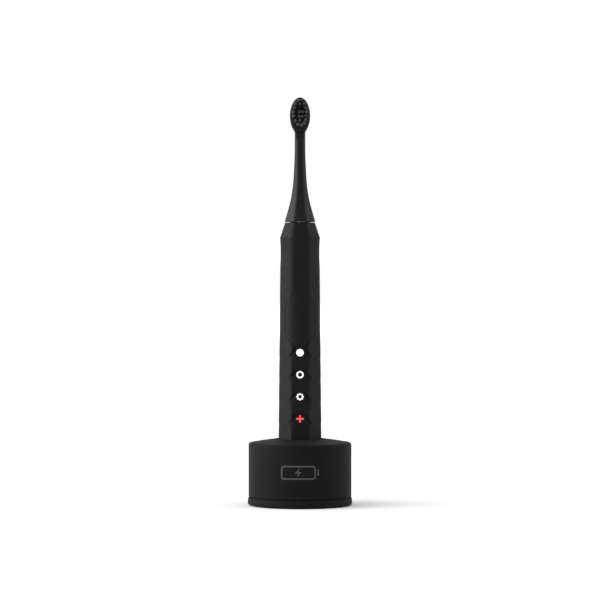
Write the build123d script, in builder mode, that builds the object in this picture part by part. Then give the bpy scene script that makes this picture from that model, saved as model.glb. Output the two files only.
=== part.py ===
from build123d import *
from math import cos, pi, sqrt, tan
import os

# An electric toothbrush standing in its charger. Millimetres, +Z up, the bristles face -Y.
# The origin is the middle of the charger's foot, on the surface that it stands on.

# ---- charger base -------------------------------------------------------------------------
base_radius = 35.0
rim_height = 42.5  # height of the edge between side and domed top, before it is rounded
rim_round = 2.0
dome_rise = 2.8  # climb of the top from its edge to the cup
dome_bulge = 0.1  # how far the domed top stands above a straight slope
base_wall = 2.2
cover_overhang = 0.75  # the foot ring flares out this far past the housing
cover_lean = 0.6  # its side leans in this much going up
cover_height = 5.0
cover_floor = 3.6
cover_edge_round = 1.3
cover_lip_height = 4.0
cover_lip_wall = 1.6
seam_height = 0.6
seam_depth = 0.7
seam_chamfer = 0.3
pad_proud = 0.5
pad_thickness = 1.6
pad_width = 8.0
slip_gap = 0.15  # between a fixed piece and the piece that it drops into

# ---- cup and induction charger --------------------------------------------------------------
cup_depth = 9.4
cup_wall = 2.0
cup_clearance = 1.0  # around the handle's corners
cup_lip_round = 0.5
spigot_radius = 4.0
spigot_height = 7.5
spigot_wall = 1.3
spigot_clearance = 0.35
core_disc_radius = 12.0
core_disc_thickness = 1.5
bobbin_height = 8.0
bobbin_flange = 1.0
bobbin_hub_wall = 0.9
collar_height = 5.0
collar_wall = 1.4
board_height = 13.0
board_thickness = 1.6
board_margin = 1.0  # between the board and the screw bosses
post_inset = 6.7  # of the board's posts, from its edge
parts_inset = 7.9  # of the large parts on it
capacitor_radius = 3.8
choke_size = 8.6
boss_radius = 3.0
boss_count = 3
cover_screw_radius = 1.25
cover_screw_head_radius = 2.4
cover_screw_head_height = 1.6
cover_screw_length = 9.0
board_screw_radius = 0.9
board_screw_length = 6.0
board_screw_head_radius = 1.7
board_screw_head_height = 1.1
inlet_width = 8.94
inlet_height = 3.26
inlet_length = 7.3
inlet_shell = 0.3
inlet_tongue_width = 6.7
inlet_tongue_thickness = 0.7
inlet_setback = 1.8  # of the flat around the inlet, from the side of the base
inlet_flat_width = 13.0
inlet_flat_height = 7.4
inlet_backing = 2.6  # wall behind that flat

# ---- handle outside --------------------------------------------------------------------------
handle_length = 156.0
foot_half = 14.55  # half the width across flats, here and below
grip_half = 14.0
thumb_half = 13.72
button_half = 13.63
collar_half = 13.42
waist_half = 13.12
shoulder_half = 13.55
top_half = 10.2
shoulder_drop = 10.2  # these drops are measured down from the top
waist_drop = 20.5
collar_drop = 29.6
button_drop = 48.3
button_length = 36.6
thumb_rise = 11.5  # stretch above the scales where the soft body turns crisp
crown_rise = 0.35  # the top climbs this much from its edge to the shaft's seal
crown_rim = 0.9  # flat round the seal
button_half_width = 9.9
button_flat_half = 4.9
button_slope = 6.3  # height of its sloping corners
button_margin = 1.5  # housing left between the button and the first scale
soft_corner = 6.0
thumb_corner = 8.0
button_corner = 10.5
crisp_corner = 1.2
top_corner = 3.4
scale_count = 4
scale_margin = 2.1  # plain band between the lowest scale and the cup
scale_front_step = 1.1  # how far each scale's front is set in under its arch
scale_side_step = 0.12  # the same at its sides and diagonals
scale_round = 11.0  # corner radius of each scale under its arch
scale_lap = 2.0  # overlap of each scale's cut with the next scale
arch_flat_half = 4.0
arch_reach = 6.1  # sideways run of each sloping side of the arch
arch_drop = 8.7  # height of each sloping side
icon_drop = 3.0  # of an icon's centre, below its arch
icon_radius = 2.5
icon_depth = 0.8
ring_inner_radius = 1.45
gear_teeth = 8
gear_root_radius = 2.05
gear_inner_radius = 1.2
plus_half_width = 0.62
handle_wall = 1.76

# ---- handle inside ---------------------------------------------------------------------------
nose_wall = 3.0
seal_radius = 4.6
seal_proud = 0.1
cap_plate = 2.2
cap_ring_height = 4.4
cap_ring_wall = 2.6
o_ring_thickness = 1.6
socket_wall = 1.2
socket_spare = 0.6
receiver_height = 8.4
receiver_flange = 0.8
motor_drop = 14.0
motor_length = 30.0
motor_wall = 0.8
motor_clearance = 1.7
mount_thickness = 2.0
mount_skirt = 6.0
bearing_radius = 3.6
bearing_length = 3.0
bearing_flange = 1.0
rotor_radius = 4.6
rotor_gap = 0.6
shaft_radius = 1.75
shaft_clearance = 0.04
shaft_flat_depth = 0.45
shaft_reach = 24.0  # above the handle's top
cell_length = 50.0
cell_inset = 2.2
cradle_clearance = 1.1
cradle_end_wall = 2.0
board_room = 4.3
main_board_thickness = 1.0
main_board_half = 6.6
main_board_margin = 1.5
hook_width = 1.6
hook_lip = 0.9
main_board_screw_length = 4.0
board_to_cell = 1.2
switch_drop = 12.0  # below the button's upper edge
switch_size = 4.6
switch_body_height = 1.6
plunger_radius = 1.1
plunger_proud = 0.6
stem_radius = 1.5
button_thickness = 1.5
button_gap = 0.16
button_travel = 0.4
gasket_thickness = 0.8
gasket_margin = 1.2
led_width = 2.2
led_height = 1.0
mask_wall = 0.8

# ---- brush head ------------------------------------------------------------------------------
head_gap = 0.65
neck_stations = (  # height above the head's foot, half the width, half the depth
    (0.0, 10.4, 10.2),
    (9.0, 7.86, 7.6),
    (17.0, 5.97, 5.7),
    (25.0, 4.82, 4.5),
    (34.0, 4.15, 3.7),
    (42.0, 3.78, 3.2),
    (50.0, 3.58, 2.95),
)
neck_hollow_rise = 17.0
neck_half = 3.57
head_wall = 1.7
sleeve_wall = 1.5
sleeve_height = 24.5
sleeve_flange = 1.6
clip_wall = 0.4
clip_height = 5.0
plate_half_width = 6.93
plate_top_length = 12.5
plate_bottom_length = 16.0
plate_low_reach = 10.9  # from the plate's widest place down to the groove under its bristle bed
plate_centre_rise = 72.15  # of the plate's widest place, above the head's foot
pad_front = 3.7
pad_step = 0.9
pad_inset = 1.2
plate_crook = 6.5
plate_front_round = 1.2
plate_back_round = 1.6
neck_overlap = 0.35
groove_half_width = 2.6  # of the groove that parts the bristle plate from the neck
groove_height = 0.6
groove_depth = 1.3
plate_back = 1.9
tuft_radius = 0.82
tuft_length = 10.0
tuft_hole_depth = 2.2
outer_tufts = 15
outer_ring_half = 4.35
outer_ring_length = 8.65  # half the height of the outer ring of tufts
outer_ring_rise = 1.35  # of its middle, above the plate's widest place
inner_column_half = 1.3
inner_row_pitch = 3.0
inner_rows = 3
inner_end_reach = 5.6  # of the single tufts at each end, from the inner group's middle
inner_rise = 1.9
inner_trim = 0.8  # the inner tufts are this much shorter than the outer ring
short_trim = 2.4  # and their uppermost row this much

# ---- levels and radii that follow from these -------------------------------------------------
cover_z = pad_proud
cover_top_z = cover_z + cover_height
cover_floor_z = cover_z + cover_floor
housing_z = cover_top_z + seam_height
foot_radius = base_radius + cover_overhang
cup_radius = foot_half / cos(pi / 8) + cup_clearance
cup_rim_z = rim_height + dome_rise
cup_floor_z = cup_rim_z - cup_depth
cup_under_z = cup_floor_z - cup_wall
inner_radius = base_radius - base_wall
boss_circle = inner_radius - cover_lip_wall - boss_radius - 2 * slip_gap
core_radius = spigot_radius - spigot_wall
bobbin_z = cup_under_z - bobbin_height - slip_gap
core_z = bobbin_z - core_disc_thickness - slip_gap
board_radius = boss_circle - boss_radius - board_margin
post_circle = board_radius - post_inset
parts_circle = board_radius - parts_inset
inlet_flat_y = base_radius - inlet_setback
inlet_z = board_height + board_thickness + inlet_height / 2

foot_z = cup_floor_z
top_z = foot_z + handle_length
shoulder_z = top_z - shoulder_drop
waist_z = top_z - waist_drop
collar_z = top_z - collar_drop
crown_z = top_z + crown_rise
button_top_z = top_z - button_drop
scales_top_z = button_top_z - button_length
thumb_z = scales_top_z + thumb_rise
button_bottom_z = scales_top_z + button_margin
scale_pitch = (scales_top_z - cup_rim_z - scale_margin) / scale_count
cavity_radius = waist_half - handle_wall
nose_radius = top_half - 2.2
socket_radius = spigot_radius + spigot_clearance
socket_depth = spigot_height + socket_spare
socket_outer = socket_radius + socket_wall
cap_radius = cavity_radius - slip_gap
receiver_z = foot_z + cap_ring_height + slip_gap
receiver_radius = cap_radius - slip_gap
motor_top_z = top_z - motor_drop
motor_z = motor_top_z - motor_length
motor_radius = cavity_radius - motor_clearance
cradle_radius = cavity_radius - cradle_clearance
cradle_z = receiver_z + receiver_height + 1.5
cradle_top_z = motor_z - mount_thickness
cell_radius = cavity_radius - board_room
cell_y = cavity_radius - cell_inset - cell_radius
cell_z = (cradle_z + cradle_top_z - cell_length) / 2
board_back_y = cell_y - cell_radius - board_to_cell
board_front_y = board_back_y - main_board_thickness
switch_z = button_top_z - switch_drop
switch_front_y = board_front_y - switch_body_height
plunger_tip_y = switch_front_y - plunger_proud
head_z = top_z + head_gap
plate_z = head_z + plate_centre_rise
groove_z = plate_z - plate_low_reach
head_base_half = neck_stations[0][1]
sleeve_radius = shaft_radius + shaft_clearance + sleeve_wall
shaft_tip_z = top_z + shaft_reach

octagon_share = tan(pi / 8)  # half a flat's length over half the width across flats


def keep(builder, name):
    """Names a finished piece and writes its STEP file."""
    builder.part.label = name
    export_step(builder.part, f"parts/{name}.step")
    return builder.part


def octagon(half_x, half_y, corner, z, shift_y=0.0, diagonal=None):
    """A level octagon with rounded corners and a flat to the front; diagonal is half across its slants."""
    flat_x = diagonal * sqrt(2) - half_y if diagonal else half_x * octagon_share
    flat_y = diagonal * sqrt(2) - half_x if diagonal else half_y * octagon_share
    quarter = [(half_x, flat_y), (flat_x, half_y), (-flat_x, half_y), (-half_x, flat_y)]
    outline = quarter + [(-x, -y) for x, y in quarter]
    with BuildSketch(Plane.XY.offset(z)) as section:
        with Locations((0, shift_y)):
            Polygon(*outline, align=None)
        fillet(section.vertices(), corner)
    return section.sketch


def ring(inner, outer, z, height):
    """A plain upright ring or tube."""
    with BuildPart() as made:
        with BuildSketch(Plane.XY.offset(z)):
            Circle(outer)
            Circle(inner, mode=Mode.SUBTRACT)
        extrude(amount=height)
    return made.part


def half_width(z):
    """Half the handle's width across flats at a height among the scales."""
    share = (z - foot_z) / (scales_top_z - foot_z)
    return foot_half + (grip_half - foot_half) * share


def handle_form(inset=0.0, corner=None):
    """The handle's outer form drawn in by inset; corner, if given, rounds its whole upper body."""
    stations = [
        (foot_z, foot_half, crisp_corner),
        (scales_top_z, grip_half, corner or crisp_corner),
        (thumb_z, thumb_half, corner or thumb_corner),
        (button_top_z, button_half, corner or soft_corner),
        (collar_z, collar_half, corner or soft_corner),
        (waist_z, waist_half, corner or soft_corner),
        (shoulder_z, shoulder_half, corner or soft_corner),
        (top_z, top_half, top_corner),
        (crown_z, seal_radius + crown_rim, crown_rim),
    ]
    sections = [octagon(half - inset, half - inset, corner, z) for z, half, corner in stations]
    with BuildPart() as form:
        loft(sections=sections[:2], ruled=True)
        loft(sections=sections[1:5], ruled=True)
        loft(sections=sections[4:7])
        loft(sections=sections[6:8], ruled=True)
        loft(sections=sections[7:], ruled=True)
    return form.part


def arch_outline(top_z, bottom_z):
    """Outline of a panel with an arched upper edge, seen from the front: level, then sloping sides."""
    reach = arch_flat_half + arch_reach
    side_z = top_z - arch_drop
    right = [(arch_flat_half, top_z), (reach, side_z), (reach, bottom_z)]
    return [(-x, z) for x, z in reversed(right)] + right


def button_outline(shrink=0.0):
    """Outline of the button's opening, a long octagon, drawn in by shrink."""
    run = button_half_width - button_flat_half
    lean = (sqrt(run**2 + button_slope**2) - button_slope) / run
    rise = (sqrt(run**2 + button_slope**2) - run) / button_slope
    flat = button_flat_half - shrink * lean
    reach = button_half_width - shrink
    top = button_top_z - shrink
    bottom = button_bottom_z + shrink
    corner = button_slope - shrink * (1 - rise)
    right = [(flat, top), (reach, top - corner), (reach, bottom + corner), (flat, bottom)]
    return [(-x, z) for x, z in reversed(right)] + right


def arch_prism(plane, outline, length):
    """The panel's outline run along the plane's normal, both ways from the handle's axis."""
    with BuildPart() as prism:
        with BuildSketch(plane):
            Polygon(*outline, align=None)
        extrude(amount=length, both=True)
    return prism.part


def scale_cut(index):
    """What one row of scales takes off the handle: round under its arches, crisp at the next row."""
    row_top = scales_top_z - index * scale_pitch
    next_top = row_top - scale_pitch
    row_bottom = next_top - scale_lap
    upper = half_width(row_top)
    flush = half_width(next_top)
    proud = flush + scale_front_step * scale_lap / scale_pitch
    side = upper - scale_side_step
    core = [
        octagon(proud, proud, crisp_corner, row_bottom),
        octagon(flush, flush, crisp_corner, next_top),
        octagon(side, upper - scale_front_step, scale_round, row_top, diagonal=side),
    ]
    reach = foot_half + cup_clearance
    with BuildPart() as cut:
        add(arch_prism(Plane.XZ, arch_outline(row_top, row_bottom), reach))
        add(arch_prism(Plane.YZ, arch_outline(row_top - icon_drop, row_bottom), reach))
        loft(sections=core, ruled=True, mode=Mode.SUBTRACT)
    return cut.part


def icon_plane(index):
    """The plane of a scale's front facet, its origin at the icon's centre and its normal outwards."""
    row_top = scales_top_z - index * scale_pitch
    deep = half_width(row_top) - scale_front_step
    flush = half_width(row_top - scale_pitch)
    slope = (flush - deep) / scale_pitch
    front = deep + slope * icon_drop
    return Plane(origin=(0, -front, row_top - icon_drop), x_dir=(1, 0, 0), z_dir=(0, -1, slope))


def icon_sketch(kind, plane):
    """Outline of one indicator on its plane: a dot, a ring, a toothed ring or a plus."""
    with BuildSketch(plane) as shape:
        if kind == "dot":
            Circle(icon_radius)
        if kind == "ring":
            Circle(icon_radius)
            Circle(ring_inner_radius, mode=Mode.SUBTRACT)
        if kind == "gear":
            Circle(gear_root_radius)
            with PolarLocations(gear_root_radius, gear_teeth):
                Rectangle(2 * (icon_radius - gear_root_radius), gear_root_radius / 2)
            Circle(gear_inner_radius, mode=Mode.SUBTRACT)
        if kind == "plus":
            Rectangle(2 * icon_radius, 2 * plus_half_width)
            Rectangle(2 * plus_half_width, 2 * icon_radius)
    return shape.sketch


icon_rows = {"dot": 0, "ring": 1, "gear": 2, "plus": 3}


def icon_heights():
    return [scales_top_z - index * scale_pitch - icon_drop for index in range(scale_count)]


# ---- charger base pieces ---------------------------------------------------------------------


def base_housing():
    """Upper shell of the charger with its domed top, the cup, the spigot and the screw bosses."""
    outer_dome_mid = ((base_radius + cup_radius) / 2, rim_height + dome_rise / 2 + dome_bulge)
    inner_dome_mid = (outer_dome_mid[0], outer_dome_mid[1] - base_wall)
    cup_outer = cup_radius + cup_wall
    with BuildPart() as housing:
        with BuildSketch(Plane.XZ):
            with BuildLine():
                Polyline(
                    (cup_outer, cup_rim_z - base_wall - cup_wall),
                    (cup_outer, cup_under_z),
                    (0, cup_under_z),
                    (0, cup_floor_z),
                    (cup_radius, cup_floor_z),
                    (cup_radius, cup_rim_z),
                )
                ThreePointArc((cup_radius, cup_rim_z), outer_dome_mid, (base_radius, rim_height))
                Polyline(
                    (base_radius, rim_height),
                    (base_radius, housing_z),
                    (inner_radius, housing_z),
                    (inner_radius, rim_height - base_wall),
                )
                ThreePointArc(
                    (inner_radius, rim_height - base_wall),
                    inner_dome_mid,
                    (cup_outer, cup_rim_z - base_wall - cup_wall),
                )
            make_face()
        revolve(axis=Axis.Z)
        rim_edges = housing.edges().filter_by(GeomType.CIRCLE).filter_by_position(
            Axis.Z, rim_height - 0.01, rim_height + 0.01
        )
        fillet(rim_edges, rim_round)
        cup_edges = housing.edges().filter_by(GeomType.CIRCLE).filter_by_position(
            Axis.Z, cup_rim_z - 0.01, cup_rim_z + 0.01
        )
        fillet(cup_edges, cup_lip_round)
        foot_edges = housing.edges().filter_by(GeomType.CIRCLE).filter_by_position(
            Axis.Z, housing_z - 0.01, housing_z + 0.01
        )
        chamfer(foot_edges.sort_by(SortBy.LENGTH)[-1], seam_chamfer)
        with BuildSketch(Plane.XY.offset(cup_floor_z)):
            Circle(spigot_radius)
        extrude(amount=spigot_height)
        fillet(housing.faces().filter_by(Plane.XY).group_by(SortBy.AREA)[0].edges(), 0.6)
        with BuildSketch(Plane.XY.offset(cup_under_z)):
            Circle(core_radius + slip_gap)
        extrude(amount=cup_wall + spigot_height - spigot_wall, mode=Mode.SUBTRACT)
        with BuildSketch(Plane.XY.offset(cup_under_z - collar_height)):
            Circle(core_disc_radius + slip_gap + collar_wall)
            Circle(core_disc_radius + slip_gap, mode=Mode.SUBTRACT)
        extrude(amount=collar_height)
        with BuildSketch(Plane.XY.offset(cover_floor_z + slip_gap)):
            with PolarLocations(boss_circle, boss_count, start_angle=-90):
                Circle(boss_radius)
        extrude(until=Until.NEXT)
        with BuildSketch(Plane.XY.offset(cover_floor_z + slip_gap)):
            with PolarLocations(boss_circle, boss_count, start_angle=-90):
                Circle(cover_screw_radius)
        extrude(amount=cover_screw_length, mode=Mode.SUBTRACT)
        inlet_plane = Plane(origin=(0, inlet_flat_y, inlet_z), x_dir=(-1, 0, 0), z_dir=(0, 1, 0))
        add(inlet_block(inlet_plane))
        add(inlet_opening(inlet_plane), mode=Mode.SUBTRACT)
    return keep(housing, "base_housing")


def inlet_block(plane):
    """Thickened patch of rear wall around the inlet, trimmed to the round of the base."""
    with BuildPart() as block:
        with BuildSketch(plane.offset(inlet_setback)):
            RectangleRounded(inlet_flat_width + 2 * base_wall, inlet_flat_height + base_wall, base_wall)
        extrude(amount=-(inlet_setback + inlet_backing))
        with BuildSketch(Plane.XY.offset(housing_z)):
            Circle(base_radius - slip_gap)
        extrude(amount=base_radius, mode=Mode.INTERSECT)
    return block.part


def inlet_opening(plane):
    """The flat sunk into the side for the plug's grip, and the slot for the inlet's shell."""
    with BuildPart() as opening:
        with BuildSketch(plane):
            RectangleRounded(inlet_flat_width, inlet_flat_height, inlet_height / 2)
        extrude(amount=2 * inlet_setback)
        with BuildSketch(plane):
            SlotOverall(inlet_width + 2 * slip_gap, inlet_height + 2 * slip_gap)
        extrude(amount=-2 * inlet_backing)
    return opening.part


def bottom_cover():
    """Foot ring and floor of the charger, with a lip inside the housing and two board posts."""
    lip_outer = inner_radius - slip_gap
    pad_outer = boss_circle + pad_width / 2
    with BuildPart() as cover:
        with Locations((0, 0, cover_z + cover_height / 2)):
            Cone(foot_radius, foot_radius - cover_lean, cover_height)
        fillet(cover.edges().filter_by(GeomType.CIRCLE).sort_by(Axis.Z)[0], cover_edge_round)
        chamfer(cover.edges().filter_by(GeomType.CIRCLE).sort_by(Axis.Z)[-1], seam_chamfer)
        with BuildSketch(Plane.XY.offset(cover_top_z)):
            Circle(base_radius - seam_depth)
        extrude(amount=seam_height)
        with BuildSketch(Plane.XY.offset(housing_z)):
            Circle(lip_outer)
        extrude(amount=cover_lip_height)
        with BuildSketch(Plane.XY.offset(cover_floor_z)):
            Circle(lip_outer - cover_lip_wall)
        extrude(amount=cover_height + seam_height + cover_lip_height, mode=Mode.SUBTRACT)
        with BuildSketch(Plane.XY.offset(cover_z)):
            Circle(pad_outer)
            Circle(pad_outer - pad_width, mode=Mode.SUBTRACT)
        extrude(amount=pad_thickness - pad_proud, mode=Mode.SUBTRACT)
        with BuildSketch(Plane.XY.offset(cover_floor_z)):
            with PolarLocations(post_circle, 2):
                Circle(boss_radius)
        extrude(amount=board_height - cover_floor_z)
        head_z_top = cover_z + pad_thickness - pad_proud + cover_screw_head_height
        with BuildSketch(Plane.XY.offset(cover_z)):
            with PolarLocations(boss_circle, boss_count, start_angle=-90):
                Circle(cover_screw_head_radius + slip_gap)
        extrude(amount=head_z_top - cover_z, mode=Mode.SUBTRACT)
        with BuildSketch(Plane.XY.offset(cover_z)):
            with PolarLocations(boss_circle, boss_count, start_angle=-90):
                Circle(cover_screw_radius + slip_gap)
        extrude(amount=cover_floor, mode=Mode.SUBTRACT)
        with BuildSketch(Plane.XY.offset(board_height)):
            with PolarLocations(post_circle, 2):
                Circle(board_screw_radius)
        extrude(amount=-board_screw_length, mode=Mode.SUBTRACT)
        inlet_room = inlet_flat_width + 2 * base_wall + 2.0
        with BuildSketch(Plane.XY.offset(housing_z)):
            with Locations((0, base_radius / 2 + inner_radius / 2)):
                Rectangle(inlet_room, inner_radius)
        extrude(amount=cover_lip_height, mode=Mode.SUBTRACT)
    return keep(cover, "bottom_cover")


def foot_pad():
    """Soft ring that the charger stands on."""
    outer = boss_circle + pad_width / 2 - slip_gap
    with BuildPart() as pad:
        add(ring(outer - pad_width + 2 * slip_gap, outer, 0, pad_thickness))
        chamfer(pad.edges().filter_by(GeomType.CIRCLE).group_by(Axis.Z)[0], 0.3)
    return keep(pad, "foot_pad")


def pan_screw(radius, length, head_radius, head_height, drive):
    """A screw standing head down at the origin: domed head, cross recess, shank and point."""
    with BuildPart() as screw:
        with BuildSketch(Plane.XZ):
            with BuildLine():
                Polyline((0, 0), (head_radius * 0.7, 0))
                ThreePointArc(
                    (head_radius * 0.7, 0),
                    (head_radius * 0.93, head_height * 0.28),
                    (head_radius, head_height),
                )
                Polyline(
                    (head_radius, head_height),
                    (radius, head_height),
                    (radius, head_height + length - radius),
                    (radius * 0.3, head_height + length),
                    (0, head_height + length),
                    (0, 0),
                )
            make_face()
        revolve(axis=Axis.Z)
        with BuildSketch(Plane.XY):
            Rectangle(drive, drive * 0.28)
            Rectangle(drive * 0.28, drive)
        extrude(amount=head_height * 0.6, mode=Mode.SUBTRACT)
    return screw.part


def cover_screws():
    """The screws that hold the cover to the housing, their heads under the foot pad."""
    head_z = cover_z + pad_thickness - pad_proud
    screw = pan_screw(
        cover_screw_radius - 0.02,
        cover_screw_length - 0.5,
        cover_screw_head_radius,
        cover_screw_head_height - 0.02,
        cover_screw_head_radius * 1.2,
    )
    with BuildPart() as screws:
        with Locations((0, 0, head_z)):
            with PolarLocations(boss_circle, boss_count, start_angle=-90):
                add(screw)
    return keep(screws, "cover_screws")


def charger_board():
    """Round circuit board of the charger, with a tongue that carries the inlet."""
    tongue_end = inlet_flat_y - inlet_backing - 0.4
    with BuildPart() as board:
        with BuildSketch(Plane.XY.offset(board_height)):
            Circle(board_radius)
            with Locations((0, tongue_end / 2)):
                Rectangle(inlet_width + 3.0, tongue_end)
            with PolarLocations(post_circle, 2):
                Circle(board_screw_radius + slip_gap, mode=Mode.SUBTRACT)
        extrude(amount=board_thickness)
    return keep(board, "charger_board")


def board_screws():
    """Two small screws that hold the charger board on its posts."""
    screw = pan_screw(
        board_screw_radius - 0.02,
        board_screw_length,
        board_screw_head_radius,
        board_screw_head_height,
        board_screw_head_radius * 1.2,
    )
    head_z = board_height + board_thickness + board_screw_head_height
    with BuildPart() as screws:
        with PolarLocations(post_circle, 2):
            with Locations(Location((0, 0, head_z), (180, 0, 0))):
                add(screw)
    return keep(screws, "board_screws")


def board_components():
    """Capacitors, a choke, a driver chip and its small parts, standing on the charger board."""
    z = board_height + board_thickness
    tall = core_z - z - 1.0
    with BuildPart() as parts:
        with BuildSketch(Plane.XY.offset(z)):
            with PolarLocations(parts_circle, 2, start_angle=222, angular_range=42, endpoint=True):
                Circle(capacitor_radius)
        extrude(amount=min(tall, 7.5))
        with BuildSketch(Plane.XY.offset(z)):
            with PolarLocations(parts_circle, 1, start_angle=315):
                RectangleRounded(choke_size, choke_size, 1.0)
        extrude(amount=min(tall, 4.5))
        with BuildSketch(Plane.XY.offset(z)):
            Rectangle(5.0, 5.0)
        extrude(amount=1.2)
        with BuildSketch(Plane.XY.offset(z)):
            with PolarLocations(parts_circle, 2, 35, 110, rotate=False, endpoint=True):
                with GridLocations(3.4, 3.0, 2, 2):
                    Rectangle(2.0, 1.25)
        extrude(amount=0.8)
    return keep(parts, "board_components")


def charging_inlet():
    """Metal shell of the low-voltage inlet at the rear, open towards the back, with its tongue."""
    front_y = inlet_flat_y - 0.2
    plane = Plane(origin=(0, front_y, inlet_z), x_dir=(-1, 0, 0), z_dir=(0, 1, 0))
    inner_width = inlet_width - 2 * inlet_shell
    inner_height = inlet_height - 2 * inlet_shell
    with BuildPart() as inlet:
        with BuildSketch(plane):
            SlotOverall(inlet_width, inlet_height)
        extrude(amount=-inlet_length)
        with BuildSketch(plane):
            SlotOverall(inner_width, inner_height)
        extrude(amount=-(inlet_length - 1.2), mode=Mode.SUBTRACT)
        with BuildSketch(plane.offset(-(inlet_length - 1.2))):
            Rectangle(inlet_tongue_width, inlet_tongue_thickness)
        extrude(amount=inlet_length - 1.2 - 1.0)
    return keep(inlet, "charging_inlet")


def ferrite_core(name):
    """Ferrite disc and rod that carry the charger's field up through the spigot."""
    rod_top = cup_floor_z + spigot_height - spigot_wall - slip_gap
    with BuildPart() as core:
        with BuildSketch(Plane.XY.offset(core_z)):
            Circle(core_disc_radius)
        extrude(amount=core_disc_thickness)
        with BuildSketch(Plane.XY.offset(core_z)):
            Circle(core_radius)
        extrude(amount=rod_top - core_z)
        chamfer(core.edges().filter_by(GeomType.CIRCLE).sort_by(Axis.Z)[-1], 0.4)
    return keep(core, name)


def bobbin(name, inner, outer, z, height, flange, hub_wall):
    """A reel for a coil: a hub with a flange at each end."""
    hub = inner + hub_wall
    with BuildPart() as reel:
        with BuildSketch(Plane.XZ):
            with BuildLine():
                Polyline(
                    (inner, z),
                    (outer, z),
                    (outer, z + flange),
                    (hub, z + flange),
                    (hub, z + height - flange),
                    (outer, z + height - flange),
                    (outer, z + height),
                    (inner, z + height),
                    close=True,
                )
            make_face()
        revolve(axis=Axis.Z)
    return keep(reel, name)


def coil(name, inner, outer, z, height):
    """A copper winding, as one closed ring."""
    with BuildPart() as winding:
        add(ring(inner, outer, z, height))
        fillet(winding.edges().filter_by(GeomType.CIRCLE).group_by(SortBy.LENGTH)[-1], 0.4)
    return keep(winding, name)


# ---- handle pieces -------------------------------------------------------------------------


def handle_housing():
    """Outer shell of the handle with its scales, the button's opening and the icon pockets."""
    with BuildPart() as housing:
        add(handle_form())
        for index in range(scale_count):
            add(scale_cut(index), mode=Mode.SUBTRACT)
        with BuildSketch(Plane.XZ):
            with BuildLine():
                Polyline(
                    (0, foot_z),
                    (cavity_radius, foot_z),
                    (cavity_radius, shoulder_z - 1.0),
                    (nose_radius, top_z - nose_wall),
                    (seal_radius, top_z - nose_wall),
                    (seal_radius, crown_z),
                    (0, crown_z),
                    close=True,
                )
            make_face()
        revolve(axis=Axis.Z, mode=Mode.SUBTRACT)
        with BuildSketch(Plane.XZ):
            Polygon(*button_outline(), align=None)
        extrude(amount=foot_half, mode=Mode.SUBTRACT)
        for kind, index in icon_rows.items():
            extrude(icon_sketch(kind, icon_plane(index)), amount=-icon_depth, mode=Mode.SUBTRACT)
    return keep(housing, "handle_housing")


def power_button():
    """Arched push panel on the handle's front, its stem reaching in to the switch."""
    outline = button_outline(button_gap)
    with BuildPart() as button:
        add(handle_form(corner=button_corner))
        add(handle_form(button_thickness, button_corner - button_thickness), mode=Mode.SUBTRACT)
        with BuildSketch(Plane.XZ):
            Polygon(*outline, align=None)
        extrude(amount=foot_half, mode=Mode.INTERSECT)
        tip = Plane(origin=(0, plunger_tip_y - 0.02, switch_z), x_dir=(1, 0, 0), z_dir=(0, -1, 0))
        with BuildSketch(tip):
            Circle(stem_radius)
        stem_length = button_half - button_thickness / 2 + plunger_tip_y
        extrude(amount=stem_length)
    return keep(button, "power_button")


def button_gasket():
    """Curved silicone sheet behind the button, with a hole for the stem."""
    outer = cavity_radius - 0.05
    height = button_top_z - button_bottom_z + 2 * gasket_margin
    with BuildPart() as gasket:
        add(ring(outer - gasket_thickness, outer, button_bottom_z - gasket_margin, height))
        with BuildSketch(Plane.XZ.offset(outer * 0.38)):
            with Locations((0, (button_top_z + button_bottom_z) / 2)):
                RectangleRounded(2 * button_half_width, height, 2.0)
        extrude(amount=outer, mode=Mode.INTERSECT)
        with BuildSketch(Plane.XZ):
            with Locations((0, switch_z)):
                Circle(stem_radius + 0.5)
        extrude(amount=foot_half, mode=Mode.SUBTRACT)
    return keep(gasket, "button_gasket")


def indicator(kind):
    """Translucent indicator let into its scale, flush with it."""
    with BuildPart() as window:
        extrude(icon_sketch(kind, icon_plane(icon_rows[kind])), amount=-(icon_depth - 0.01))
    return keep(window, f"indicator_{kind}")


def end_cap():
    """Plug that closes the handle's foot, with the blind socket for the spigot."""
    groove_depth = o_ring_thickness * 0.9
    ring_inner = cap_radius - cap_ring_wall
    groove_z = foot_z + cap_plate + 0.3
    with BuildPart() as cap:
        with BuildSketch(Plane.XZ):
            with BuildLine():
                Polyline(
                    (socket_radius, foot_z),
                    (cap_radius, foot_z),
                    (cap_radius, groove_z),
                    (cap_radius - groove_depth, groove_z),
                    (cap_radius - groove_depth, groove_z + o_ring_thickness),
                    (cap_radius, groove_z + o_ring_thickness),
                    (cap_radius, foot_z + cap_ring_height),
                    (ring_inner, foot_z + cap_ring_height),
                    (ring_inner, foot_z + cap_plate),
                    (socket_outer, foot_z + cap_plate),
                    (socket_outer, foot_z + socket_depth + socket_wall),
                    (0, foot_z + socket_depth + socket_wall),
                    (0, foot_z + socket_depth),
                    (socket_radius, foot_z + socket_depth),
                    close=True,
                )
            make_face()
        revolve(axis=Axis.Z)
        mouth = cap.edges().filter_by(GeomType.CIRCLE).group_by(Axis.Z)[0].sort_by(SortBy.LENGTH)[0]
        chamfer(mouth, 0.4)
    return keep(cap, "end_cap")


def end_cap_seal():
    """O-ring in the end cap's groove."""
    minor = o_ring_thickness / 2 - 0.03
    groove_z = foot_z + cap_plate + 0.3
    with BuildPart() as seal:
        with Locations((0, 0, groove_z + o_ring_thickness / 2)):
            Torus(cavity_radius - minor - 0.03, minor)
    return keep(seal, "end_cap_seal")


def main_board_screw_places():
    z = cradle_top_z - main_board_margin - 2.6
    x = main_board_half - 2.6
    return [(-x, z), (x, z)]


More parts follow.
